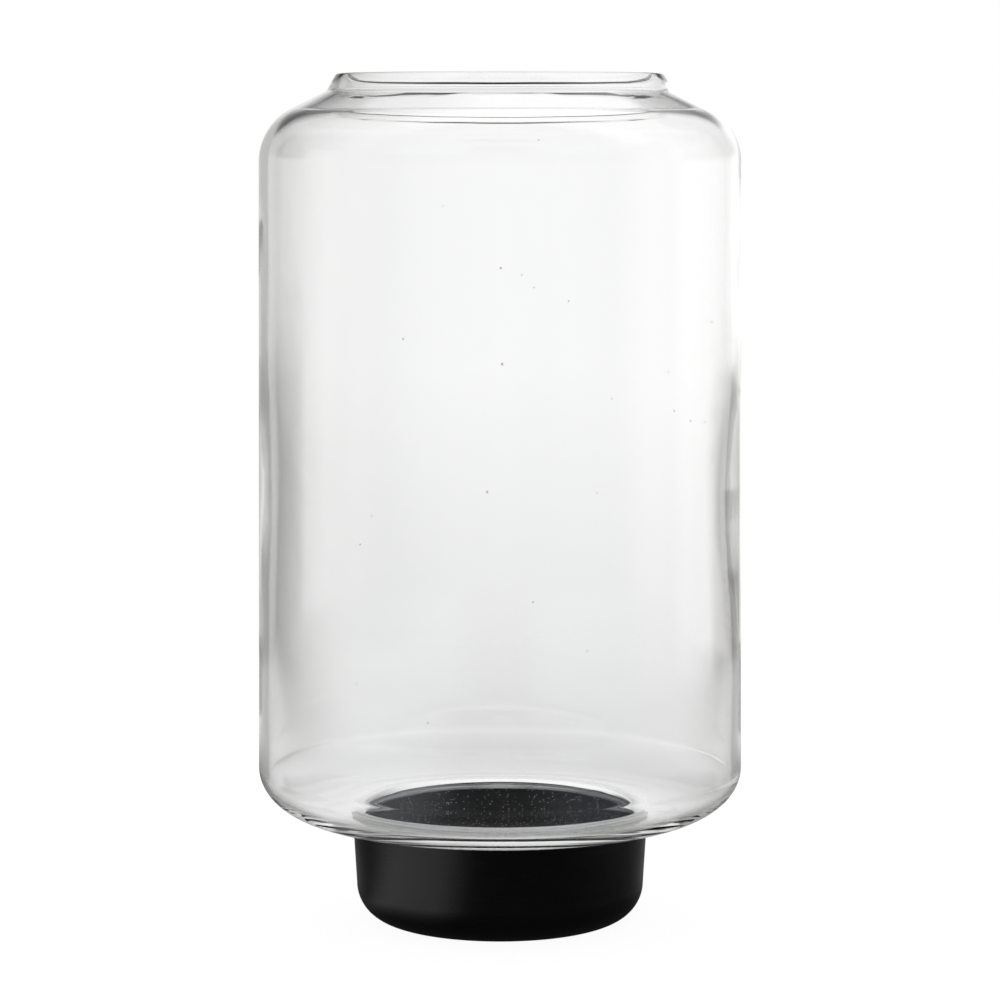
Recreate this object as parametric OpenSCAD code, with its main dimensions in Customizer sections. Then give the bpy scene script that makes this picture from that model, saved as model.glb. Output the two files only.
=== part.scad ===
// Hurricane candle lantern: a blown glass body, open below, that stands on a turned wooden base.
// Sizes are in millimetres. The origin is the centre of the underside, and +Z is up.

/* [Glass body] */
// Height of the glass alone, from its underside to its rim
glass_h = 309.4; // [276:0.2:350]
// Outer diameter of the glass where the heel meets the wall
belly_d = 202; // [190:1:220]
// Outer diameter of the glass where the wall meets the shoulder
upper_d = 198.8; // [186:0.2:216]
// Thickness of the wall, the shoulder and the neck
wall_t = 3.8; // [3:0.1:6]
// Outer radius of the rounded shoulder
shoulder_r = 24.8; // [14:0.2:30]
// Slope of the cone above the shoulder, in degrees from level
shoulder_slope = 26.6; // [16:0.2:34]
// Reach of the rounded heel, in from the wall
heel_w = 29.6; // [20:0.2:36]
// Height of the rounded heel
heel_h = 21.7; // [14:0.1:34]
// Thickness of the level underside between the heel and the opening
under_t = 4.6; // [3:0.1:7]
// How much further out the heel's inside turns up than an even wall would
heel_thin = 2.1; // [0:0.1:4]
// How much lower the heel's inside meets the wall than its outside
heel_drop = 1.8; // [0:0.1:3]

/* [Glass neck] */
// Outer diameter of the ground rim
rim_d = 135; // [116:0.5:146]
// Height of the neck, from the bend to the rim
neck_h = 6.8; // [5:0.1:14]
// Lean of the neck towards the axis, in degrees from upright
neck_lean = 28.5; // [0:0.5:32]
// Outer radius of the bend between cone and neck
bend_r = 3; // [1.5:0.1:5]
// Bevel ground on both edges of the rim
rim_bevel = 0.5; // [0.2:0.1:1]

/* [Glass opening] */
// Height of the thickened edge round the opening in the underside
edge_h = 5.5; // [4:0.1:9]
// Radius of the edge's lower corner
edge_low_r = 1.9; // [0.8:0.1:2.4]
// Reach of the edge's rounded top, out from the opening
edge_top_w = 7.7; // [1.5:0.1:10]
// Height of the edge's rounded top
edge_top_h = 3.3; // [1.5:0.1:4]

/* [Wooden base] */
// Height of the base alone
base_h = 43.7; // [36:0.1:60]
// Diameter of the base at its top
base_top_d = 123.6; // [110:0.2:150]
// Diameter of the base just above its rounded lower edge
base_low_d = 120.4; // [110:0.2:146]
// Width of the level ring, round the boss, that the opening's edge stands on
seat_w = 6; // [5:0.1:10]
// Height of the boss above the ring
boss_h = 1; // [0.6:0.1:3]
// Clearance between the boss and the opening
boss_gap = 0.8; // [0.4:0.1:1.5]
// Radius that eases the boss's edge
boss_edge_r = 0.3; // [0.2:0.05:0.5]
// Radius of the rounded lower edge
low_edge_r = 15.6; // [6:0.2:18]
// Radius that eases the top's outer edge
top_edge_r = 1.1; // [0.4:0.1:2]

/* [Felt pad] */
// Level ring of the underside left round the pad's pocket
pad_land = 4.2; // [2:0.1:16]
// Thickness of the pad
pad_t = 2; // [1.5:0.1:4]
// Depth to which the pad is let into the base
pad_inset = 1.2; // [0.5:0.1:1.4]
// Clearance round the pad in its shallow pocket
pad_gap = 0.4; // [0.2:0.1:1]

/* [Hidden] */

// Turn of a profile's arc from one point to the next, in degrees
ARC_STEP = 5;
$fn = 180;

// Heights
base_z = pad_t - pad_inset;
base_top_z = base_z + base_h;
boss_z = base_top_z + boss_h;
under_z = base_top_z;
edge_z = under_z + edge_h;
heel_z = under_z + heel_h;
heel_in_z = heel_z - heel_drop;
rim_z = under_z + glass_h;
bend_z = rim_z - neck_h;

// Radii
base_top_r = base_top_d / 2;
base_low_r = base_low_d / 2;
open_r = base_top_r - seat_w;
boss_r = open_r - boss_gap;
pocket_r = base_low_r - low_edge_r - pad_land;
pad_r = pocket_r - pad_gap;
belly_r = belly_d / 2;
upper_r = upper_d / 2;
rim_r = rim_d / 2;
rim_in_r = rim_r - wall_t / cos(neck_lean);
corner_r = rim_r + neck_h * tan(neck_lean);
heel_r = belly_r - heel_w;
heel_in_r = heel_r + heel_thin;
heel_in_w = belly_r - wall_t - heel_in_r;

// Rounded top of the opening's edge, no larger than the glass it is on
edge_reach = min(edge_top_w, heel_in_r - open_r);
edge_rise = min(edge_top_h, edge_h - edge_low_r);

// Centre of the shoulder's arc, below the cone that runs up to the bend
shoulder_turn = 90 - shoulder_slope;
shoulder_axis_r = upper_r - shoulder_r;
cone_low_r = shoulder_axis_r + shoulder_r * cos(shoulder_turn);
cone_rise = (cone_low_r - corner_r) * tan(shoulder_slope);
shoulder_z = bend_z - cone_rise - shoulder_r * sin(shoulder_turn);

// Centre of the bend's arc, out in the air on the line that halves the corner
bend_from = 270 - shoulder_slope;
bend_to = 180 + neck_lean;
bend_half = (90 + neck_lean + shoulder_slope) / 2;
bend_reach = bend_r / sin(bend_half);
bend_axis_r = corner_r + bend_reach * cos(bend_half - shoulder_slope);
bend_axis_z = bend_z + bend_reach * sin(bend_half - shoulder_slope);

// Points of a round stretch, or of an oval one where the two radii differ
function arc(r, z, reach_r, reach_z, from, to) =
    let (steps = ceil(abs(to - from) / ARC_STEP))
    [for (i = [0:steps])
        let (turn = from + (to - from) * i / steps)
        [r + reach_r * cos(turn), z + reach_z * sin(turn)]];

// Outside of the glass, from the opening in its underside up to the rim
function glass_outside() = concat(
    arc(open_r + edge_low_r, under_z + edge_low_r, edge_low_r, edge_low_r, 180, 270),
    arc(heel_r, heel_z, heel_w, heel_h, -90, 0),
    arc(shoulder_axis_r, shoulder_z, shoulder_r, shoulder_r, 0, shoulder_turn),
    arc(bend_axis_r, bend_axis_z, bend_r, bend_r, bend_from, bend_to),
    [[rim_r + rim_bevel * tan(neck_lean), rim_z - rim_bevel], [rim_r - rim_bevel, rim_z]]);

// Inside of the glass, from the rim down to the rounded edge of the opening
function glass_inside() = concat(
    [[rim_in_r + rim_bevel, rim_z], [rim_in_r + rim_bevel * tan(neck_lean), rim_z - rim_bevel]],
    arc(bend_axis_r, bend_axis_z, bend_r + wall_t, bend_r + wall_t, bend_to, bend_from),
    arc(shoulder_axis_r, shoulder_z, shoulder_r - wall_t, shoulder_r - wall_t, shoulder_turn, 0),
    arc(heel_in_r, heel_in_z, heel_in_w, heel_in_z - under_z - under_t, 0, -90),
    arc(open_r + edge_reach, edge_z - edge_rise, edge_reach, edge_rise, 90, 180));

// Section of the base: pad pocket, rounded lower edge, eased top, seat ring and boss
function base_section() = concat(
    [[0, pad_t], [pocket_r, pad_t], [pocket_r, base_z]],
    arc(base_low_r - low_edge_r, base_z + low_edge_r, low_edge_r, low_edge_r, -90, 0),
    arc(base_top_r - top_edge_r, base_top_z - top_edge_r, top_edge_r, top_edge_r, 0, 90),
    [[boss_r, base_top_z]],
    arc(boss_r - boss_edge_r, boss_z - boss_edge_r, boss_edge_r, boss_edge_r, 0, 90),
    [[0, boss_z]]);

// Clear blown body with a round opening below, a round heel and shoulder, and a short neck cut and ground flat
module glass_hurricane() {
    color([0.86, 0.92, 0.92, 0.4])
        rotate_extrude()
            polygon(concat(glass_outside(), glass_inside()));
}

// Turned wooden base, painted satin black, with a low boss that centres the glass
module base_body() {
    color([0.07, 0.07, 0.075])
        rotate_extrude()
            polygon(base_section());
}

// Felt disc glued into the underside
module felt_pad() {
    color([0.2, 0.2, 0.2])
        cylinder(r = pad_r, h = pad_t);
}

glass_hurricane();
base_body();
felt_pad();
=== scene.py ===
"""Hurricane candle lantern: a clear blown glass body that stands on a satin black turned base."""

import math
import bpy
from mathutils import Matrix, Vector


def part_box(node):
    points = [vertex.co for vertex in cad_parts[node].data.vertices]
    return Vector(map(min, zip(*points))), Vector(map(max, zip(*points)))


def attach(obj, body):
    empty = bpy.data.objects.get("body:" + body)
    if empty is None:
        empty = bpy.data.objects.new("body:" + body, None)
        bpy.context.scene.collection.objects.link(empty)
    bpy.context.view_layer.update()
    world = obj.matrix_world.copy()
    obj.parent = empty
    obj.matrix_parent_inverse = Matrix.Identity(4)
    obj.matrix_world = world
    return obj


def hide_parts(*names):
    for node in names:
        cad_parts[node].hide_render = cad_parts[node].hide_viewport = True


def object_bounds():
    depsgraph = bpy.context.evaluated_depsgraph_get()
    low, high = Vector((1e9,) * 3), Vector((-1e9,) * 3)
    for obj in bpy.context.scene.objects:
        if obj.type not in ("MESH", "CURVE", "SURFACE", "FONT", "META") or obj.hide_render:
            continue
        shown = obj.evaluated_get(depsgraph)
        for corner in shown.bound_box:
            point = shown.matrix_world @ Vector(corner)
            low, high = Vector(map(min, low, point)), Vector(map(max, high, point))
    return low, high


bl_info = {
    "name": "Hurricane candle lantern",
    "version": (1, 0, 0),
    "blender": (4, 5, 0),
    "location": "View3D > Sidebar > Lantern",
    "description": "Builds the glass, the turned base, the felt pad and the studio of a candle lantern",
    "category": "Object",
}

import bmesh
import bpy
from bpy.props import FloatProperty, FloatVectorProperty, IntProperty, PointerProperty
from mathutils import Matrix, Vector, noise

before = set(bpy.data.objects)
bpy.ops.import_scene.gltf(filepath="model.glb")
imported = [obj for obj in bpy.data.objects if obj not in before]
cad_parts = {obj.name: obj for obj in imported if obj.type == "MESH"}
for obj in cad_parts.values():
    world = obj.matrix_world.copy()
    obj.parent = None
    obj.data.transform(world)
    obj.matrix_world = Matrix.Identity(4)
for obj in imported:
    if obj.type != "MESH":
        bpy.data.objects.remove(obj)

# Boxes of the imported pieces, in metres
CAD_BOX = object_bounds()
GLASS_LOW, GLASS_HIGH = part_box("glass_hurricane")
BASE_LOW, BASE_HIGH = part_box("base_body")
PAD_LOW, PAD_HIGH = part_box("felt_pad")

MM = 0.001

# A point this near the axis is on it
ON_AXIS = 1e-7


# Meshes made by turning a section


def arc(r, z, reach_r, reach_z, start, end, step=3.0):
    """Points of a round or oval stretch of a section, from one angle to another in degrees."""
    count = max(1, math.ceil(abs(end - start) / step))
    points = []
    for i in range(count + 1):
        turn = math.radians(start + (end - start) * i / count)
        points.append((r + reach_r * math.cos(turn), z + reach_z * math.sin(turn)))
    return points


def straight(start, end, count):
    """Points of a straight stretch, without its two ends."""
    points = []
    for i in range(1, count):
        share = i / count
        points.append((start[0] + (end[0] - start[0]) * share, start[1] + (end[1] - start[1]) * share))
    return points


def without_doubles(section, least=1e-6):
    """The section without points that repeat the one before them."""
    kept = [section[0]]
    for point in section[1:]:
        if math.hypot(point[0] - kept[-1][0], point[1] - kept[-1][1]) > least:
            kept.append(point)
    return kept


def turned_mesh(name, section, steps, sway=None, slot_of=None):
    """A closed mesh made by turning a section round Z. sway moves a point in or out by angle.

    A section that starts on the axis ends there too; any other section is joined into a ring.
    """
    bm = bmesh.new()
    rings = []
    for index, (r, z) in enumerate(section):
        if r < ON_AXIS:
            rings.append([bm.verts.new((0.0, 0.0, z))])
            continue
        ring = []
        for i in range(steps):
            angle = 2 * math.pi * i / steps
            reach = r + (sway(index, angle, z) if sway else 0.0)
            ring.append(bm.verts.new((reach * math.cos(angle), reach * math.sin(angle), z)))
        rings.append(ring)
    joints = len(rings) - (1 if section[0][0] < ON_AXIS else 0)
    for index in range(joints):
        low, high = rings[index], rings[(index + 1) % len(rings)]
        slot = slot_of(index) if slot_of else 0
        for i in range(steps):
            j = (i + 1) % steps
            if len(low) == 1:
                corners = (low[0], high[j], high[i])
            elif len(high) == 1:
                corners = (low[i], low[j], high[0])
            else:
                corners = (low[i], low[j], high[j], high[i])
            face = bm.faces.new(corners)
            face.material_index = slot
            face.smooth = True
    bmesh.ops.recalc_face_normals(bm, faces=bm.faces[:])
    mesh = bpy.data.meshes.new(name)
    bm.to_mesh(mesh)
    bm.free()
    return mesh


def place(mesh, materials, sharp_degrees):
    """Put a mesh in the scene with its materials, smooth but for edges over an angle."""
    mesh.set_sharp_from_angle(angle=math.radians(sharp_degrees))
    for material in materials:
        mesh.materials.append(material)
    piece = bpy.data.objects.new(mesh.name, mesh)
    bpy.context.scene.collection.objects.link(piece)
    return piece


# Shader nodes


def add_node(tree, kind, inputs=None, **options):
    """Place a node, set its options, and fill or link its inputs."""
    node = tree.nodes.new(kind)
    for key, value in options.items():
        setattr(node, key, value)
    for key, value in (inputs or {}).items():
        if isinstance(value, bpy.types.NodeSocket):
            tree.links.new(value, node.inputs[key])
        else:
            node.inputs[key].default_value = value
    return node


def maths(tree, operation, *values):
    """The result of one Math node."""
    node = add_node(tree, "ShaderNodeMath", dict(enumerate(values)), operation=operation)
    return node.outputs[0]


def spread(tree, value, from_min, from_max, to_min, to_max, smooth=False):
    """A value carried from one range to another and held within it."""
    kind = "SMOOTHSTEP" if smooth else "LINEAR"
    ends = {"From Min": from_min, "From Max": from_max, "To Min": to_min, "To Max": to_max}
    node = add_node(tree, "ShaderNodeMapRange", {"Value": value, **ends}, interpolation_type=kind)
    return node.outputs["Result"]


def blend_colour(tree, share, first, second):
    """Two colours mixed by a share."""
    node = add_node(tree, "ShaderNodeMix", data_type="RGBA")
    for socket, value in ((0, share), (6, first), (7, second)):
        if isinstance(value, bpy.types.NodeSocket):
            tree.links.new(value, node.inputs[socket])
        else:
            node.inputs[socket].default_value = value
    return node.outputs[2]


def new_group(name, inputs, outputs):
    """A shader node group with float inputs that have defaults, and float outputs."""
    tree = bpy.data.node_groups.new(name, "ShaderNodeTree")
    for label, default in inputs.items():
        socket = tree.interface.new_socket(label, in_out="INPUT", socket_type="NodeSocketFloat")
        socket.default_value = default
    for label in outputs:
        tree.interface.new_socket(label, in_out="OUTPUT", socket_type="NodeSocketFloat")
    return tree, tree.nodes.new("NodeGroupInput"), tree.nodes.new("NodeGroupOutput")


def specks_group():
    """Fine dust: small round specks in some of the cells of a scatter."""
    name = "Dust specks"
    if name in bpy.data.node_groups:
        return bpy.data.node_groups[name]
    inputs = {"Scale": 600.0, "Share": 0.2, "Size": 0.3, "Along Y": 1.0}
    tree, given, result = new_group(name, inputs, ["Mask"])
    place_of = add_node(tree, "ShaderNodeTexCoord").outputs["Object"]
    along = add_node(tree, "ShaderNodeCombineXYZ", {"X": 1.0, "Y": given.outputs["Along Y"], "Z": 1.0})
    drawn = add_node(tree, "ShaderNodeVectorMath", {0: place_of, 1: along.outputs[0]}, operation="MULTIPLY")
    feed = {"Vector": drawn.outputs[0], "Scale": given.outputs["Scale"]}
    cells = add_node(tree, "ShaderNodeTexVoronoi", feed)
    chance = add_node(tree, "ShaderNodeSeparateColor", {"Color": cells.outputs["Color"]})
    chosen = maths(tree, "LESS_THAN", chance.outputs[0], given.outputs["Share"])
    reach = maths(tree, "MULTIPLY", chance.outputs[1], given.outputs["Size"])
    near = maths(tree, "LESS_THAN", cells.outputs["Distance"], reach)
    faint = spread(tree, chance.outputs[2], 0.0, 1.0, 0.25, 1.0)
    mask = maths(tree, "MULTIPLY", maths(tree, "MULTIPLY", chosen, near), faint)
    tree.links.new(mask, result.inputs["Mask"])
    return tree


def grain_group():
    """Long thin streaks of noise, drawn out along X, along Y or along both."""
    name = "Fibre grain"
    if name in bpy.data.node_groups:
        return bpy.data.node_groups[name]
    inputs = {"Scale": 900.0, "Along X": 0.05, "Along Y": 1.0, "Detail": 3.0}
    tree, given, result = new_group(name, inputs, ["Height"])
    place_of = add_node(tree, "ShaderNodeTexCoord").outputs["Object"]
    feed = {"X": given.outputs["Along X"], "Y": given.outputs["Along Y"], "Z": 1.0}
    along = add_node(tree, "ShaderNodeCombineXYZ", feed)
    drawn = add_node(tree, "ShaderNodeVectorMath", {0: place_of, 1: along.outputs[0]}, operation="MULTIPLY")
    feed = {"Vector": drawn.outputs[0], "Scale": given.outputs["Scale"], "Detail": given.outputs["Detail"]}
    streaks = add_node(tree, "ShaderNodeTexNoise", feed)
    tree.links.new(streaks.outputs["Fac"], result.inputs["Height"])
    return tree


def new_material(name):
    """An empty node material with a Principled shader, and its tree and shader."""
    material = bpy.data.materials.new(name)
    material.use_nodes = True
    tree = material.node_tree
    return material, tree, tree.nodes["Principled BSDF"]


def place_group(tree, group, values):
    """Place a node group and fill its inputs."""
    node = add_node(tree, "ShaderNodeGroup", node_tree=group)
    for label, value in values.items():
        node.inputs[label].default_value = value
    return node


def bump(tree, height, strength, distance):
    """A bumped normal from a height."""
    feed = {"Height": height, "Strength": strength, "Distance": distance}
    return add_node(tree, "ShaderNodeBump", feed).outputs["Normal"]


# Glass

# Points along the straight wall of the glass
WALL_STEPS = 44

# Heights between which the wall is uneven, and the stretch over which that eases in
WALL_LOW, WALL_HIGH, WALL_EASE = 0.068, 0.322, 0.03

# Depth of the wall's slow ripples, and how close they lie round and up the wall
RIPPLE_DEPTH = 0.22 * MM
RIPPLE_ROUND, RIPPLE_UP = 1.7, 9.0

# Places where the blown wall is thicker: turn in radians, height, reach in degrees, up and down, and depth
SWELLS = (
    (0.0, 0.176, 36.0, 0.064, 0.06, 0.85 * MM),
    (math.pi, 0.190, 38.0, 0.05, 0.05, 0.25 * MM),
)

# Small bubbles in the wall: turn from the front in degrees, height and radius in millimetres
BUBBLES = (
    (-22.5, 250.1, 0.3), (0.5, 240.8, 0.42), (4.9, 275.2, 0.25), (0.2, 277.9, 0.34), (15.7, 265.0, 0.25),
    (59.0, 254.5, 0.35), (-2.9, 191.0, 0.36), (7.5, 147.8, 0.28), (8.8, 327.1, 0.24), (-16.7, 99.5, 0.26),
    (-30.7, 180.1, 0.22), (22.6, 189.9, 0.22), (20.3, 127.7, 0.24), (50.1, 215.8, 0.28), (55.9, 214.7, 0.25),
    (42.3, 236.0, 0.24), (26.3, 226.5, 0.22), (-35.1, 112.8, 0.22), (-12.9, 301.7, 0.2), (128.0, 210.0, 0.34),
    (171.0, 262.0, 0.3), (-140.0, 150.0, 0.32), (-98.0, 233.0, 0.28), (95.0, 128.0, 0.28),
)

# Height of a bubble for its width
BUBBLE_STRETCH = 1.3

# Refraction of soda-lime glass
GLASS_IOR = 1.52

# How far along the surface one has to look for the painted edge shade to start, and to be full
SHADED_EDGE_FACING = (0.6, 0.95)

# Ripples that blowing left on the surface, and the strength and depth of their bump
BLOWING_RIPPLE = {"Scale": 38.0, "Detail": 1.0}
BLOWING_BUMP = (0.02, 0.004)

# Edges over this angle, in degrees, stay sharp
GLASS_SHARP = 40


class LanternGlass(bpy.types.PropertyGroup):
    """Sizes, colour and painted edge shade of the blown glass."""

    wall: FloatProperty(
        name="Wall", description="Thickness of the wall, shoulder and neck",
        default=3.8 * MM, unit="LENGTH")
    upper_radius: FloatProperty(
        name="Upper radius", description="Outer radius where the wall meets the shoulder",
        default=99.4 * MM, unit="LENGTH")
    shoulder_radius: FloatProperty(
        name="Shoulder", description="Outer radius of the rounded shoulder",
        default=24.8 * MM, unit="LENGTH")
    shoulder_slope: FloatProperty(
        name="Shoulder slope", description="Slope of the cone above the shoulder",
        default=math.radians(26.6), subtype="ANGLE")
    heel_reach: FloatProperty(
        name="Heel reach", description="Reach of the rounded heel, in from the wall",
        default=29.6 * MM, unit="LENGTH")
    heel_height: FloatProperty(
        name="Heel height", description="Height of the rounded heel",
        default=21.7 * MM, unit="LENGTH")
    underside: FloatProperty(
        name="Underside", description="Thickness of the level underside",
        default=4.46 * MM, unit="LENGTH")
    heel_thin: FloatProperty(
        name="Heel thinning", description="How much further out the heel's inside turns up than an even wall",
        default=2.07 * MM, unit="LENGTH")
    heel_drop: FloatProperty(
        name="Heel drop", description="How much lower the heel's inside ends on the wall than its outside",
        default=1.76 * MM, unit="LENGTH")
    rim_radius: FloatProperty(
        name="Rim radius", description="Outer radius of the ground rim",
        default=67.5 * MM, unit="LENGTH")
    neck_height: FloatProperty(
        name="Neck height", description="Height of the neck, from the bend to the rim",
        default=6.8 * MM, unit="LENGTH")
    neck_lean: FloatProperty(
        name="Neck lean", description="Lean of the neck towards the axis",
        default=math.radians(28.5), subtype="ANGLE")
    bend_radius: FloatProperty(
        name="Bend", description="Outer radius of the bend below the neck",
        default=3.0 * MM, unit="LENGTH")
    rim_bevel: FloatProperty(
        name="Rim bevel", description="Bevel ground on both edges of the rim",
        default=0.5 * MM, unit="LENGTH")
    opening: FloatProperty(
        name="Opening radius", description="Radius of the opening in the underside",
        default=55.8 * MM, unit="LENGTH")
    edge_height: FloatProperty(
        name="Edge height", description="Height of the thickened edge round the opening",
        default=5.36 * MM, unit="LENGTH")
    edge_low: FloatProperty(
        name="Edge corner", description="Radius of the edge's lower corner",
        default=1.92 * MM, unit="LENGTH")
    edge_reach: FloatProperty(
        name="Edge reach", description="Reach of the edge's rounded top, out from the opening",
        default=7.7 * MM, unit="LENGTH")
    edge_round: FloatProperty(
        name="Edge rounding", description="Height of the edge's rounded top",
        default=3.27 * MM, unit="LENGTH")
    air: FloatProperty(
        name="Air gap", description="Thin air between the glass and the ring it stands on",
        default=0.15 * MM, unit="LENGTH")
    tint: FloatVectorProperty(
        name="Tint", description="Colour of the clear glass",
        default=(0.995, 0.998, 0.994), subtype="COLOR", size=3, min=0.0, max=1.0)
    # Painted shade: the glass turns this darker colour where it is looked along, partly for the longer path
    # of light through it, partly standing in for its darker edges
    painted_edge_shade: FloatVectorProperty(
        name="Painted edge shade", description="Colour of the glass where it is looked along",
        default=(0.88, 0.885, 0.875), subtype="COLOR", size=3, min=0.0, max=1.0)
    turns: IntProperty(
        name="Turns", description="Steps round the glass", default=360, min=32)


def glass_section(glass):
    """Outside of the glass from its opening up to the rim, and the inside back down."""
    under_z, rim_z = GLASS_LOW[2] + glass.air, GLASS_HIGH[2]
    belly = GLASS_HIGH[0]
    wall = glass.wall
    heel_r, heel_z = belly - glass.heel_reach, GLASS_LOW[2] + glass.heel_height
    heel_in = heel_r + glass.heel_thin
    heel_in_z = heel_z - glass.heel_drop
    edge_z = under_z + glass.edge_height
    slope, lean = glass.shoulder_slope, glass.neck_lean
    turn = 90 - math.degrees(slope)
    shoulder_r = glass.upper_radius - glass.shoulder_radius
    cone_low = shoulder_r + glass.shoulder_radius * math.sin(slope)
    corner_r = glass.rim_radius + glass.neck_height * math.tan(lean)
    corner_z = rim_z - glass.neck_height
    cone_rise = (cone_low - corner_r) * math.tan(slope)
    shoulder_z = corner_z - cone_rise - glass.shoulder_radius * math.cos(slope)
    half = (math.pi / 2 + lean + slope) / 2
    reach = glass.bend_radius / math.sin(half)
    bend_r = corner_r + reach * math.cos(half - slope)
    bend_z = corner_z + reach * math.sin(half - slope)
    bend_from, bend_to = 270 - math.degrees(slope), 180 + math.degrees(lean)
    bevel, bevel_in = glass.rim_bevel, glass.rim_bevel * math.tan(lean)
    rim_in = glass.rim_radius - wall / math.cos(lean)
    low, reach_in, round_in = glass.edge_low, glass.edge_reach, glass.edge_round
    outer_bend, inner_bend = glass.bend_radius, glass.bend_radius + wall
    outer_round, inner_round = glass.shoulder_radius, glass.shoulder_radius - wall

    outside = arc(glass.opening + low, under_z + low, low, low, 180, 270, step=5)
    outside += arc(heel_r, heel_z, glass.heel_reach, heel_z - under_z, -90, 0)
    outside += straight((belly, heel_z), (glass.upper_radius, shoulder_z), WALL_STEPS)
    outside += arc(shoulder_r, shoulder_z, outer_round, outer_round, 0, turn)
    outside += arc(bend_r, bend_z, outer_bend, outer_bend, bend_from, bend_to, step=5)
    outside += [(glass.rim_radius + bevel_in, rim_z - bevel), (glass.rim_radius - bevel, rim_z)]
    inside = [(rim_in + bevel, rim_z), (rim_in + bevel_in, rim_z - bevel)]
    inside += arc(bend_r, bend_z, inner_bend, inner_bend, bend_to, bend_from, step=5)
    inside += arc(shoulder_r, shoulder_z, inner_round, inner_round, turn, 0)
    inside += straight((glass.upper_radius - wall, shoulder_z), (belly - wall, heel_in_z), WALL_STEPS)
    inside += arc(heel_in, heel_in_z, belly - wall - heel_in, heel_in_z - under_z - glass.underside, 0, -90)
    inside += arc(glass.opening + reach_in, edge_z - round_in, reach_in, round_in, 90, 180)
    outside = without_doubles(outside)
    return outside + without_doubles(inside), len(outside)


def wall_gain(angle, z):
    """How much thicker the wall is at a place than its plain section, in metres."""
    share = max(0.0, min(1.0, (z - WALL_LOW) / WALL_EASE, (WALL_HIGH - z) / WALL_EASE))
    way = Vector((math.cos(angle), math.sin(angle), z * RIPPLE_UP))
    ripple = RIPPLE_DEPTH * noise.noise(way * RIPPLE_ROUND)
    swell = 0.0
    for turn, height, reach_turn, reach_up, reach_down, depth in SWELLS:
        aside = math.degrees(math.atan2(math.sin(angle - turn), math.cos(angle - turn))) / reach_turn
        along = (z - height) / (reach_up if z > height else reach_down)
        if abs(aside) < 1.0 and abs(along) < 1.0:
            swell += depth * (math.cos(aside * math.pi / 2) * math.cos(along * math.pi / 2)) ** 2
    return share * (ripple + swell)


def add_bubbles(mesh, glass):
    """Hollow out small bubbles half way through the wall, a little longer than they are wide."""
    bm = bmesh.new()
    bm.from_mesh(mesh)
    for turn, height, radius in BUBBLES:
        angle = math.radians(turn - 90.0)
        r = glass.upper_radius - glass.wall * 0.5
        spot = Matrix.Translation((r * math.cos(angle), r * math.sin(angle), height * MM))
        form = Matrix.Diagonal((radius * MM, radius * MM, BUBBLE_STRETCH * radius * MM, 1.0))
        made = bmesh.ops.create_icosphere(bm, subdivisions=2, radius=1.0, matrix=spot @ form)
        faces = {face for vert in made["verts"] for face in vert.link_faces}
        for face in faces:
            face.smooth = True
        bmesh.ops.reverse_faces(bm, faces=list(faces))
    bm.to_mesh(mesh)
    bm.free()


def clear_glass_material(glass):
    """Clear soda-lime glass with the slow ripple of blowing, and painted shade that makes it a little darker
    where it is looked along.
    """
    material, tree, shader = new_material("Clear blown glass")
    # Painted shade: darker towards the edges of the glass from any side, partly for the longer path through
    # it, partly standing in for its darker edges
    facing = add_node(tree, "ShaderNodeLayerWeight").outputs["Facing"]
    along = spread(tree, facing, *SHADED_EDGE_FACING, 0.0, 1.0, smooth=True)
    colour = blend_colour(tree, along, (*glass.tint, 1.0), (*glass.painted_edge_shade, 1.0))
    tree.links.new(colour, shader.inputs["Base Color"])
    shader.inputs["Roughness"].default_value = 0.0
    shader.inputs["IOR"].default_value = GLASS_IOR
    shader.inputs["Transmission Weight"].default_value = 1.0
    place_of = add_node(tree, "ShaderNodeTexCoord").outputs["Object"]
    ripple = add_node(tree, "ShaderNodeTexNoise", {"Vector": place_of, **BLOWING_RIPPLE})
    tree.links.new(bump(tree, ripple.outputs["Fac"], *BLOWING_BUMP), shader.inputs["Normal"])
    return material


class LANTERN_OT_glass(bpy.types.Operator):
    """Make the blown glass with its opening, heel, shoulder and ground neck"""

    bl_idname = "lantern.glass"
    bl_label = "Glass"

    def execute(self, context):
        glass = context.scene.lantern_glass
        section, outer_count = glass_section(glass)

        def sway(index, angle, z):
            if index < outer_count:
                return 0.0
            return -wall_gain(angle, z)

        mesh = turned_mesh("blown_glass", section, glass.turns, sway)
        add_bubbles(mesh, glass)
        piece = place(mesh, [clear_glass_material(glass)], GLASS_SHARP)
        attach(piece, "glass")
        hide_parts("glass_hurricane")
        return {"FINISHED"}


# Base

# Dust on the paint, and the roughness and gloss of the paint, outside and on top
OUTSIDE_DUST = {"Scale": 520.0, "Share": 0.012, "Size": 0.12, "Along Y": 1.0}
OUTSIDE_ROUGHNESS, OUTSIDE_GLOSS = 0.34, 0.5
TOP_DUST = {"Scale": 980.0, "Share": 0.8, "Size": 0.3, "Along Y": 0.3}
TOP_ROUGHNESS, TOP_GLOSS = 0.7, 0.05

# Uneven sheen: the cloud, the ends of its range, and how far the roughness sways
SHEEN_CLOUD = {"Scale": 60.0, "Detail": 3.0}
CLOUD_ENDS = (0.3, 0.7)
ROUGHNESS_SWAY = 0.03

# Fine lines of turning, the strength and depth of their bump, and how much lighter the paint is on them
TURNING_LINES = {"Scale": 1500.0, "Along X": 0.05, "Along Y": 0.05, "Detail": 3.0}
TURNING_BUMP = (0.22, 0.0003)
WORN_PAINT = 2.2

DUST_COLOUR = (0.5, 0.52, 0.55, 1.0)

# Points up the straight side, and the angle in degrees over which edges stay sharp
SIDE_STEPS = 12
BASE_SHARP = 35


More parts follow.
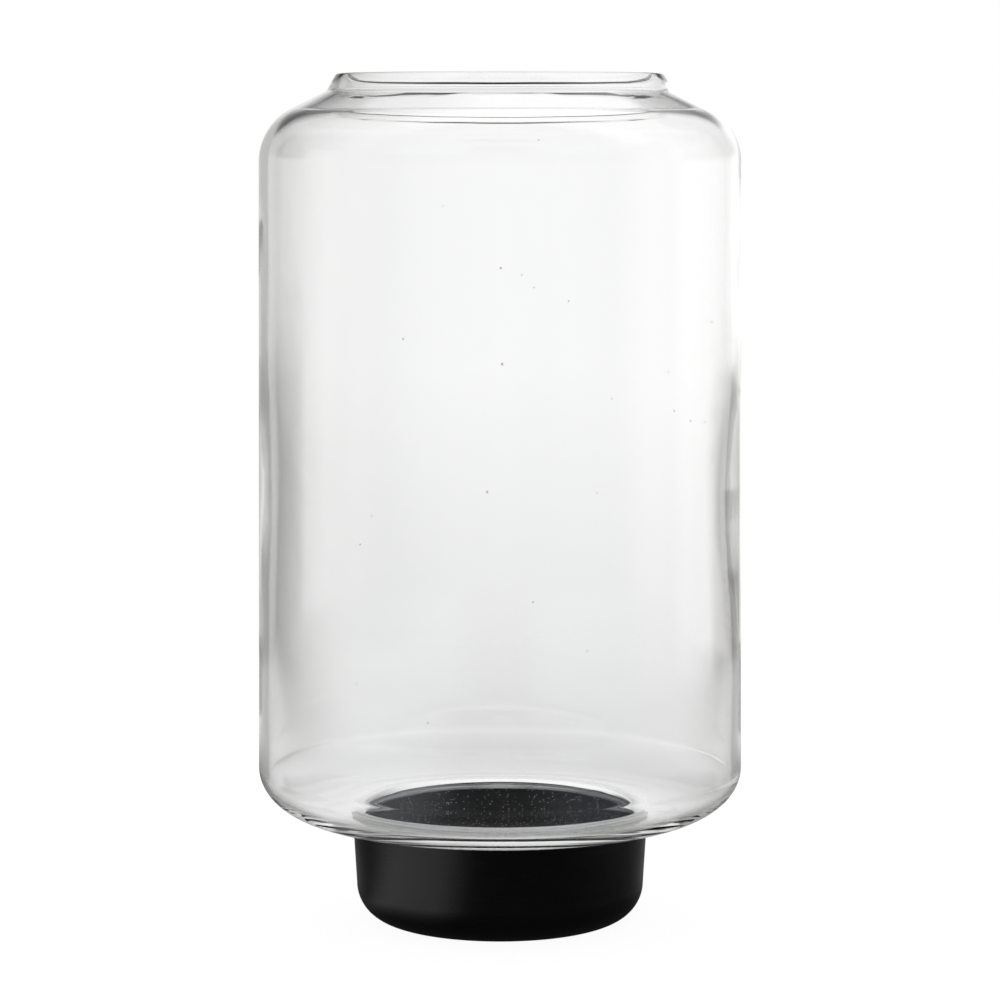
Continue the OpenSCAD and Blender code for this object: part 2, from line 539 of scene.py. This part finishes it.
class LanternBase(bpy.types.PropertyGroup):
    """Sizes and finish of the turned base."""

    low_radius: FloatProperty(
        name="Lower radius", description="Radius just above the rounded lower edge",
        default=60.2 * MM, unit="LENGTH")
    low_edge: FloatProperty(
        name="Lower edge", description="Radius of the rounded lower edge",
        default=15.6 * MM, unit="LENGTH")
    top_edge: FloatProperty(
        name="Top edge", description="Radius that eases the top's outer edge",
        default=1.1 * MM, unit="LENGTH")
    boss_gap: FloatProperty(
        name="Boss gap", description="Clearance between the boss and the opening of the glass",
        default=0.8 * MM, unit="LENGTH")
    boss_edge: FloatProperty(
        name="Boss edge", description="Radius that eases the boss's edge",
        default=0.3 * MM, unit="LENGTH")
    pocket_gap: FloatProperty(
        name="Pocket gap", description="Clearance round the felt pad",
        default=0.4 * MM, unit="LENGTH")
    paint: FloatVectorProperty(
        name="Paint", description="Colour of the satin black paint",
        default=(0.0009, 0.0009, 0.001), subtype="COLOR", size=3, min=0.0, max=1.0)
    turns: IntProperty(
        name="Turns", description="Steps round the base", default=256, min=32)


def base_section(base, opening):
    """Section of the base, from the middle of its pad pocket round to the middle of its boss."""
    low_z, seat_z, boss_z = BASE_LOW[2], GLASS_LOW[2], BASE_HIGH[2]
    top_r = BASE_HIGH[0]
    pocket_r = PAD_HIGH[0] + base.pocket_gap
    boss_r = opening - base.boss_gap
    low, top, ease = base.low_edge, base.top_edge, base.boss_edge
    section = [(0.0, PAD_HIGH[2]), (pocket_r, PAD_HIGH[2]), (pocket_r, low_z)]
    section += arc(base.low_radius - low, low_z + low, low, low, -90, 0)
    section += straight((base.low_radius, low_z + low), (top_r, seat_z - top), SIDE_STEPS)
    section += arc(top_r - top, seat_z - top, top, top, 0, 90, step=10)
    outer_count = len(without_doubles(section))
    section += [(boss_r, seat_z)]
    section += arc(boss_r - ease, boss_z - ease, ease, ease, 0, 90, step=15)
    section += [(0.0, boss_z)]
    return without_doubles(section), outer_count


def black_paint_material(base, name, dust, roughness, gloss):
    """Satin black paint on turned wood: fine turning lines, an uneven sheen and some dust."""
    material, tree, shader = new_material(name)
    specks = place_group(tree, specks_group(), dust)
    lines = place_group(tree, grain_group(), TURNING_LINES)
    place_of = add_node(tree, "ShaderNodeTexCoord").outputs["Object"]
    cloud = add_node(tree, "ShaderNodeTexNoise", {"Vector": place_of, **SHEEN_CLOUD})
    worn = tuple(min(1.0, c * WORN_PAINT) for c in base.paint)
    colour = blend_colour(tree, lines.outputs["Height"], (*base.paint, 1.0), (*worn, 1.0))
    colour = blend_colour(tree, specks.outputs["Mask"], colour, DUST_COLOUR)
    tree.links.new(colour, shader.inputs["Base Color"])
    shader.inputs["Specular IOR Level"].default_value = gloss
    low, high = roughness - ROUGHNESS_SWAY, roughness + ROUGHNESS_SWAY
    uneven = spread(tree, cloud.outputs["Fac"], *CLOUD_ENDS, low, high)
    tree.links.new(uneven, shader.inputs["Roughness"])
    tree.links.new(bump(tree, lines.outputs["Height"], *TURNING_BUMP), shader.inputs["Normal"])
    return material


class LANTERN_OT_base(bpy.types.Operator):
    """Make the turned base with its boss, seat ring, rounded lower edge and pad pocket"""

    bl_idname = "lantern.base"
    bl_label = "Base"

    def execute(self, context):
        base = context.scene.lantern_base
        glass = context.scene.lantern_glass
        section, outer_count = base_section(base, glass.opening)
        mesh = turned_mesh("turned_base", section, base.turns, slot_of=lambda i: int(i >= outer_count))
        outside = black_paint_material(
            base, "Satin black paint", OUTSIDE_DUST, OUTSIDE_ROUGHNESS, OUTSIDE_GLOSS)
        top = black_paint_material(base, "Dusty black paint", TOP_DUST, TOP_ROUGHNESS, TOP_GLOSS)
        piece = place(mesh, [outside, top], BASE_SHARP)
        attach(piece, "base")
        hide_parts("base_body")
        return {"FINISHED"}


# Felt pad

# Matted fibres and lint of the felt
FELT_FIBRES = {"Scale": 2600.0, "Along X": 0.35, "Along Y": 1.0, "Detail": 5.0}
FELT_LINT = {"Scale": 420.0, "Share": 0.05, "Size": 0.2}
PALE_FIBRE = 2.6
LINT_COLOUR = (0.2, 0.2, 0.2, 1.0)
FELT_BUMP = (0.6, 0.0004)
FELT_ROUGHNESS = 0.95
FELT_SHEEN = 0.25

# How close the unevenness of the cut edge lies, and how much closer up the edge than round it
FUZZ_CLOSE, FUZZ_UP = 22.0, 50.0

# Edges over this angle, in degrees, stay sharp
FELT_SHARP = 50


class LanternFelt(bpy.types.PropertyGroup):
    """Sizes and colour of the felt pad."""

    edge: FloatProperty(
        name="Edge", description="Radius of the pad's pressed edge",
        default=0.5 * MM, unit="LENGTH")
    fuzz: FloatProperty(
        name="Fuzz", description="Unevenness of the cut edge",
        default=0.25 * MM, unit="LENGTH")
    colour: FloatVectorProperty(
        name="Colour", description="Colour of the felt",
        default=(0.018, 0.018, 0.019), subtype="COLOR", size=3, min=0.0, max=1.0)
    turns: IntProperty(
        name="Turns", description="Steps round the pad", default=240, min=32)


def felt_material(felt):
    """Pressed felt: matted fibres that run all ways, and lint."""
    material, tree, shader = new_material("Black felt")
    fibres = place_group(tree, grain_group(), FELT_FIBRES)
    lint = place_group(tree, specks_group(), FELT_LINT)
    pale = tuple(min(1.0, c * PALE_FIBRE) for c in felt.colour)
    colour = blend_colour(tree, fibres.outputs["Height"], (*felt.colour, 1.0), (*pale, 1.0))
    colour = blend_colour(tree, lint.outputs["Mask"], colour, LINT_COLOUR)
    tree.links.new(colour, shader.inputs["Base Color"])
    shader.inputs["Roughness"].default_value = FELT_ROUGHNESS
    shader.inputs["Sheen Weight"].default_value = FELT_SHEEN
    tree.links.new(bump(tree, fibres.outputs["Height"], *FELT_BUMP), shader.inputs["Normal"])
    return material


class LANTERN_OT_felt(bpy.types.Operator):
    """Make the felt disc that is glued into the underside"""

    bl_idname = "lantern.felt"
    bl_label = "Felt pad"

    def execute(self, context):
        felt = context.scene.lantern_felt
        low_z, top_z, r = PAD_LOW[2], PAD_HIGH[2], PAD_HIGH[0]
        edge = felt.edge
        middle = [(0.0, low_z), (r * 0.5, low_z)]
        section = middle + arc(r - edge, low_z + edge, edge, edge, -90, 0, step=15)
        section += [(r, top_z), (0.0, top_z)]

        def sway(index, angle, z):
            if index < len(middle):
                return 0.0
            way = Vector((math.cos(angle), math.sin(angle), z * FUZZ_UP)) * FUZZ_CLOSE
            return -felt.fuzz * abs(noise.noise(way))

        mesh = turned_mesh("felt_disc", without_doubles(section), felt.turns, sway)
        piece = place(mesh, [felt_material(felt)], FELT_SHARP)
        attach(piece, "base")
        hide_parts("felt_pad")
        return {"FINISHED"}


# Stage

# The studio as glass and gloss see it: soft panels, each painted over those before it. Turn from straight
# behind the lantern (plus is right) and rise in degrees, half width and height, soft edges, and colour.
PANELS = {
    "left wall": (-69.0, -3.0, 54.0, 60.0, 15.0, 11.5, (0.52, 0.52, 0.515)),
    "left skirting": (-40.0, -10.0, 24.0, 5.0, 12.0, 3.0, (0.36, 0.36, 0.35)),
    "right window": (50.9, 2.8, 38.0, 2.9, 14.0, 3.2, (1.08, 1.08, 1.08)),
    "right front": (118.0, -4.0, 24.0, 30.0, 16.0, 8.0, (0.5, 0.5, 0.5)),
    "right skirting": (38.0, -13.0, 17.0, 7.5, 7.5, 3.0, (0.3, 0.295, 0.28)),
    "left beam": (-21.0, 25.0, 8.0, 9.0, 6.0, 5.0, (0.12, 0.12, 0.12)),
    "right beam": (21.0, 25.0, 8.0, 9.0, 6.0, 5.0, (0.2, 0.2, 0.2)),
    "right wall": (56.4, 45.3, 28.9, 39.4, 8.0, 6.5, (0.81, 0.81, 0.81)),
    "front room": (180.0, -4.0, 57.0, 24.0, 25.0, 6.0, (0.19, 0.2, 0.22)),
    "front wall": (180.0, 42.6, 54.6, 35.0, 25.6, 7.7, (0.04, 0.042, 0.048)),
}
WHITE = (1.0, 1.0, 1.0, 1.0)
BACKDROP_LOW = (0.88, 0.88, 0.88, 1.0)
BACKDROP_MIDDLE = (1.08, 1.08, 1.08, 1.0)
BACKDROP_HIGH = (0.95, 0.95, 0.95, 1.0)

# Rises, in degrees, over which the backdrop goes from low to middle, and from middle to high
BACKDROP_LOW_RISES = (-9.5, -4.0)
BACKDROP_HIGH_RISES = (16.0, 21.0)

# Painted light and shade that the table glows with as glass and gloss see it: darker close to the lantern,
# just behind it and in front, lighter far behind, with a painted glare to the front left and a painted shine
# behind
TABLE_SIDES = (0.4, 0.4, 0.39, 1.0)
TABLE_ROOM = (0.42, 0.45, 0.52, 1.0)
PAINTED_TABLE_SHADE = (0.03, 0.03, 0.033, 1.0)
PAINTED_BEHIND_SHADE = (0.78, 0.78, 0.78, 1.0)
TABLE_FAR = (0.94, 0.94, 0.94, 1.0)
PAINTED_NEAR_SHADE = (0.68, 0.68, 0.68, 1.0)
# Painted glare and painted light on the table further off, and a painted shine behind, for gloss
PAINTED_TABLE_LIGHT = (0.7, 0.69, 0.71, 1.0)
PAINTED_TABLE_SHINE = (0.3, 0.3, 0.3, 1.0)

# Where the table's painted light and shade lie: turns in degrees, and distances from the axis in metres
ROOM_TURNS = (80.0, 120.0)
FRONT_REACH, FRONT_EDGE = 7.0, 28.0
GLARE_TURN, GLARE_REACH, GLARE_EDGE = -122.0, 16.0, 26.0
GLARE_FAR = (0.058, 0.105)
BEHIND_FAR = (-0.02, 0.12)
BACK_FAR = (0.25, 0.85)
NEAR_FAR = (0.09, 0.17)
DISTANT_FAR = (0.35, 0.5)

# The table close by goes over to its sides between these shares of the distance, out to one side
NEAR_ASIDE = (0.3, 0.75)

# The fan of table behind the lantern: how far in front it starts, and its middle, reach and edge as slopes
FAN_FROM, FAN_MIDDLE, FAN_REACH, FAN_EDGE = 1.2, 0.01, 0.055, 0.09

# The table fades between these shares of its radius
RIM_FADE = (0.8, 0.97)
TABLE_STEPS = 96
TABLE_SHARP = 30

# The table to the camera: white, with a little paint that takes the shadow
TABLE_WHITE = 0.95
TABLE_SHADOW = (0.1, 0.1, 0.1, 1.0)
TABLE_PAINT = (0.8, 0.8, 0.8, 1.0)

# What a look through the glass meets if nothing reflects it, and the turns over which that comes in
CLEAR_ROOM = (0.9, 0.9, 0.9, 1.0)
CLEAR_TABLE = (0.8, 0.8, 0.8, 1.0)
CLEAR_ROOM_TURNS = (12.0, 22.0)
CLEAR_TABLE_TURNS = (14.0, 26.0)

# Light passes through many walls of glass
LIGHT_BOUNCES = 40

# A light path's depths are whole numbers, so a half tells none from one
HALF_DEPTH = 0.5

# Soft lamp overhead: where it hangs, where it points, and its width and height
LAMP_PLACE, LAMP_AIM = (0.0, 0.35, 1.6), (0.0, 0.0, 0.15)
LAMP_SIZE = (1.0, 1.0)

# Strength of the studio's light on matt surfaces
ROOM_LIGHT = 0.8

SENSOR_WIDTH = 36.0


class LanternStage(bpy.types.PropertyGroup):
    """Camera, lamp and table of the studio."""

    distance: FloatProperty(
        name="Camera distance", description="From the lantern's axis", default=1.46, unit="LENGTH")
    height: FloatProperty(
        name="Camera height", description="Above the table", default=0.33176, unit="LENGTH")
    tilt: FloatProperty(
        name="Camera tilt", description="Down from level",
        default=math.radians(6.0313), subtype="ANGLE")
    lens: FloatProperty(
        name="Lens", description="Focal length", default=126.83, unit="CAMERA")
    table_radius: FloatProperty(
        name="Table radius", description="Radius of the pale table", default=0.9, unit="LENGTH")
    lamp_power: FloatProperty(
        name="Top lamp", description="Power of the soft lamp overhead", default=3.8, unit="POWER")


def soft_reach(tree, off, reach, edge):
    """1 while a distance stays within a reach, falling softly to 0."""
    return spread(tree, maths(tree, "ABSOLUTE", off), reach, reach + edge, 1.0, 0.0, smooth=True)


def turn_from(tree, turn, middle):
    """How far a turn is from another, in degrees either way."""
    return maths(tree, "WRAP", maths(tree, "SUBTRACT", turn, middle), 180.0, -180.0)


def turn_and_axes(tree, way):
    """The turn of a direction or place from straight behind, in degrees, and its three parts."""
    axes = add_node(tree, "ShaderNodeSeparateXYZ", {0: way}).outputs
    return maths(tree, "DEGREES", maths(tree, "ARCTAN2", axes["X"], axes["Y"])), axes


def table_material(stage):
    """Pale table: white to the camera but for a faint shadow, glowing with painted light and shade to glass
    and gloss, fading at its rim.
    """
    material, tree, shader = new_material("Pale table")
    tree.nodes.remove(shader)
    out = tree.nodes["Material Output"]
    path = add_node(tree, "ShaderNodeLightPath").outputs
    place_of = add_node(tree, "ShaderNodeTexCoord").outputs["Object"]
    turn, axes = turn_and_axes(tree, place_of)
    far = add_node(tree, "ShaderNodeVectorMath", {0: place_of}, operation="LENGTH").outputs["Value"]
    through = maths(tree, "GREATER_THAN", path["Transmission Depth"], HALF_DEPTH)
    clear = maths(tree, "LESS_THAN", path["Glossy Depth"], HALF_DEPTH)
    clear = maths(tree, "MULTIPLY", clear, through)
    ahead = spread(tree, maths(tree, "ABSOLUTE", turn), *ROOM_TURNS, 0.0, 1.0, smooth=True)
    front = soft_reach(tree, turn_from(tree, turn, 180.0), FRONT_REACH, FRONT_EDGE)
    glare = soft_reach(tree, turn_from(tree, turn, GLARE_TURN), GLARE_REACH, GLARE_EDGE)
    glare = maths(tree, "MULTIPLY", glare, spread(tree, far, *GLARE_FAR, 0.0, 1.0, smooth=True))
    fan = maths(tree, "DIVIDE", axes["X"], maths(tree, "ADD", axes["Y"], FAN_FROM))
    fan = soft_reach(tree, maths(tree, "SUBTRACT", fan, FAN_MIDDLE), FAN_REACH, FAN_EDGE)
    behind = maths(tree, "MULTIPLY", fan, spread(tree, axes["Y"], *BEHIND_FAR, 0.0, 1.0, smooth=True))
    aside = maths(tree, "DIVIDE", maths(tree, "ABSOLUTE", axes["X"]), maths(tree, "MAXIMUM", far, MM))
    # Painted shade on the table close to the lantern and just behind it, lighter further back
    close = blend_colour(tree, spread(tree, aside, *NEAR_ASIDE, 0.0, 1.0), PAINTED_NEAR_SHADE, TABLE_SIDES)
    back = blend_colour(tree, spread(tree, far, *BACK_FAR, 0.0, 1.0), PAINTED_BEHIND_SHADE, TABLE_FAR)
    tone = blend_colour(tree, ahead, TABLE_SIDES, TABLE_ROOM)
    # Painted shade: the table in front of the lantern glows almost black
    tone = blend_colour(tree, front, tone, PAINTED_TABLE_SHADE)
    round_turn = spread(tree, maths(tree, "ABSOLUTE", turn), *CLEAR_TABLE_TURNS, 0.0, 1.0, smooth=True)
    tone = blend_colour(tree, maths(tree, "MULTIPLY", clear, round_turn), tone, CLEAR_TABLE)
    tone = blend_colour(tree, behind, tone, back)
    tone = blend_colour(tree, spread(tree, far, *NEAR_FAR, 1.0, 0.0), tone, close)
    # Painted light for gloss: a painted glare to the front left, a painted shine behind and painted light
    # further off, over painted shade
    gloss = blend_colour(tree, glare, PAINTED_TABLE_SHADE, PAINTED_TABLE_LIGHT)
    gloss = blend_colour(tree, behind, gloss, PAINTED_TABLE_SHINE)
    distant = spread(tree, far, *DISTANT_FAR, 0.0, 1.0)
    distant = maths(tree, "MULTIPLY", distant, maths(tree, "SUBTRACT", 1.0, ahead))
    gloss = blend_colour(tree, distant, gloss, PAINTED_TABLE_LIGHT)
    tone = blend_colour(tree, through, gloss, tone)
    glow = add_node(tree, "ShaderNodeEmission", {"Color": WHITE, "Strength": TABLE_WHITE})
    faint = add_node(tree, "ShaderNodeBsdfDiffuse", {"Color": TABLE_SHADOW})
    white = add_node(tree, "ShaderNodeAddShader", {0: glow.outputs[0], 1: faint.outputs[0]})
    toned = add_node(tree, "ShaderNodeEmission", {"Color": tone, "Strength": 1.0})
    plain = add_node(tree, "ShaderNodeBsdfDiffuse", {"Color": TABLE_PAINT})
    glassy = maths(tree, "MAXIMUM", path["Is Glossy Ray"], path["Is Transmission Ray"])
    table = add_node(tree, "ShaderNodeMixShader", {0: glassy, 1: plain.outputs[0], 2: toned.outputs[0]})
    feed = {0: path["Is Camera Ray"], 1: table.outputs[0], 2: white.outputs[0]}
    table = add_node(tree, "ShaderNodeMixShader", feed)
    ends = (stage.table_radius * share for share in RIM_FADE)
    fade = spread(tree, far, *ends, 1.0, 0.0, smooth=True)
    gone = add_node(tree, "ShaderNodeBsdfTransparent")
    feed = {0: fade, 1: gone.outputs[0], 2: table.outputs[0]}
    tree.links.new(add_node(tree, "ShaderNodeMixShader", feed).outputs[0], out.inputs["Surface"])
    return material


def studio_world():
    """White to the camera, plain to matt surfaces, and soft panels to glass and gloss."""
    world = bpy.data.worlds.new("Studio")
    bpy.context.scene.world = world
    world.use_nodes = True
    tree = world.node_tree
    tree.nodes.clear()
    way = add_node(tree, "ShaderNodeTexCoord").outputs["Generated"]
    turn, axes = turn_and_axes(tree, way)
    rise = maths(tree, "DEGREES", maths(tree, "ARCSINE", axes["Z"]))
    middle_share = spread(tree, rise, *BACKDROP_LOW_RISES, 0.0, 1.0)
    studio = blend_colour(tree, middle_share, BACKDROP_LOW, BACKDROP_MIDDLE)
    high_share = spread(tree, rise, *BACKDROP_HIGH_RISES, 0.0, 1.0)
    studio = blend_colour(tree, high_share, studio, BACKDROP_HIGH)
    for middle, lift, width, height, side_edge, top_edge, colour in PANELS.values():
        across = soft_reach(tree, turn_from(tree, turn, middle), width, side_edge)
        upward = soft_reach(tree, maths(tree, "SUBTRACT", rise, lift), height, top_edge)
        studio = blend_colour(tree, maths(tree, "MULTIPLY", across, upward), studio, (*colour, 1.0))
    path = add_node(tree, "ShaderNodeLightPath").outputs
    clear = maths(tree, "LESS_THAN", path["Glossy Depth"], HALF_DEPTH)
    round_turn = spread(tree, maths(tree, "ABSOLUTE", turn), *CLEAR_ROOM_TURNS, 0.0, 1.0, smooth=True)
    studio = blend_colour(tree, maths(tree, "MULTIPLY", clear, round_turn), studio, CLEAR_ROOM)
    glassy = maths(tree, "MAXIMUM", path["Is Glossy Ray"], path["Is Transmission Ray"])
    plain = add_node(tree, "ShaderNodeBackground", {"Color": WHITE, "Strength": ROOM_LIGHT})
    panels = add_node(tree, "ShaderNodeBackground", {"Color": studio, "Strength": 1.0})
    white = add_node(tree, "ShaderNodeBackground", {"Color": WHITE, "Strength": 1.0})
    room = add_node(tree, "ShaderNodeMixShader", {0: glassy, 1: plain.outputs[0], 2: panels.outputs[0]})
    feed = {0: path["Is Camera Ray"], 1: room.outputs[0], 2: white.outputs[0]}
    seen = add_node(tree, "ShaderNodeMixShader", feed)
    out = add_node(tree, "ShaderNodeOutputWorld")
    tree.links.new(seen.outputs[0], out.inputs["Surface"])


def soft_lamp(name, power, place_at, aim, width, height):
    """A rectangular soft lamp that points at a place."""
    lamp = bpy.data.lights.new(name, "AREA")
    lamp.shape = "RECTANGLE"
    lamp.size, lamp.size_y = width, height
    lamp.energy = power
    holder = bpy.data.objects.new(name, lamp)
    holder.location = place_at
    holder.rotation_euler = (Vector(aim) - Vector(place_at)).to_track_quat("-Z", "Y").to_euler()
    holder.visible_camera = holder.visible_glossy = holder.visible_transmission = False
    bpy.context.scene.collection.objects.link(holder)


class LANTERN_OT_stage(bpy.types.Operator):
    """Set up the pale table, the soft lamp, the studio and the camera"""

    bl_idname = "lantern.stage"
    bl_label = "Stage"

    def execute(self, context):
        scene = context.scene
        stage = scene.lantern_stage
        mesh = bpy.data.meshes.new("table_top")
        bm = bmesh.new()
        bmesh.ops.create_circle(bm, cap_ends=True, segments=TABLE_STEPS, radius=stage.table_radius)
        bm.to_mesh(mesh)
        bm.free()
        table = place(mesh, [table_material(stage)], TABLE_SHARP)
        table.location.z = CAD_BOX[0][2]
        soft_lamp("top_softbox", stage.lamp_power, LAMP_PLACE, LAMP_AIM, *LAMP_SIZE)
        studio_world()
        lens = bpy.data.cameras.new("camera")
        lens.sensor_width = SENSOR_WIDTH
        lens.lens = stage.lens
        camera = bpy.data.objects.new("camera", lens)
        camera.location = (0.0, -stage.distance, CAD_BOX[0][2] + stage.height)
        camera.rotation_euler = (math.pi / 2 - stage.tilt, 0.0, 0.0)
        scene.collection.objects.link(camera)
        scene.camera = camera
        scene.view_settings.view_transform = "Standard"
        scene.cycles.max_bounces = LIGHT_BOUNCES
        scene.cycles.transmission_bounces = LIGHT_BOUNCES
        scene.cycles.glossy_bounces = LIGHT_BOUNCES
        return {"FINISHED"}


class LANTERN_PT_panel(bpy.types.Panel):
    """Buttons and sizes of the lantern"""

    bl_idname = "LANTERN_PT_panel"
    bl_label = "Candle lantern"
    bl_space_type = "VIEW_3D"
    bl_region_type = "UI"
    bl_category = "Lantern"

    def draw(self, context):
        layout = self.layout
        for operator, settings in SECTIONS:
            box = layout.box()
            box.operator(operator.bl_idname)
            group = getattr(context.scene, settings)
            for label in group.__annotations__:
                box.prop(group, label)


SECTIONS = (
    (LANTERN_OT_glass, "lantern_glass"),
    (LANTERN_OT_base, "lantern_base"),
    (LANTERN_OT_felt, "lantern_felt"),
    (LANTERN_OT_stage, "lantern_stage"),
)
GROUPS = {
    "lantern_glass": LanternGlass,
    "lantern_base": LanternBase,
    "lantern_felt": LanternFelt,
    "lantern_stage": LanternStage,
}
CLASSES = (*GROUPS.values(), *(operator for operator, _ in SECTIONS), LANTERN_PT_panel)


def register():
    """Register the classes and hang their settings on the scene."""
    for cls in CLASSES:
        bpy.utils.register_class(cls)
    for name, group in GROUPS.items():
        setattr(bpy.types.Scene, name, PointerProperty(type=group))


def unregister():
    """Take the settings and the classes away again."""
    for name in GROUPS:
        delattr(bpy.types.Scene, name)
    for cls in reversed(CLASSES):
        bpy.utils.unregister_class(cls)


def main():
    """Build every piece and the stage."""
    register()
    bpy.ops.lantern.stage()
    bpy.ops.lantern.glass()
    bpy.ops.lantern.base()
    bpy.ops.lantern.felt()


if __name__ == "__main__":
    main()
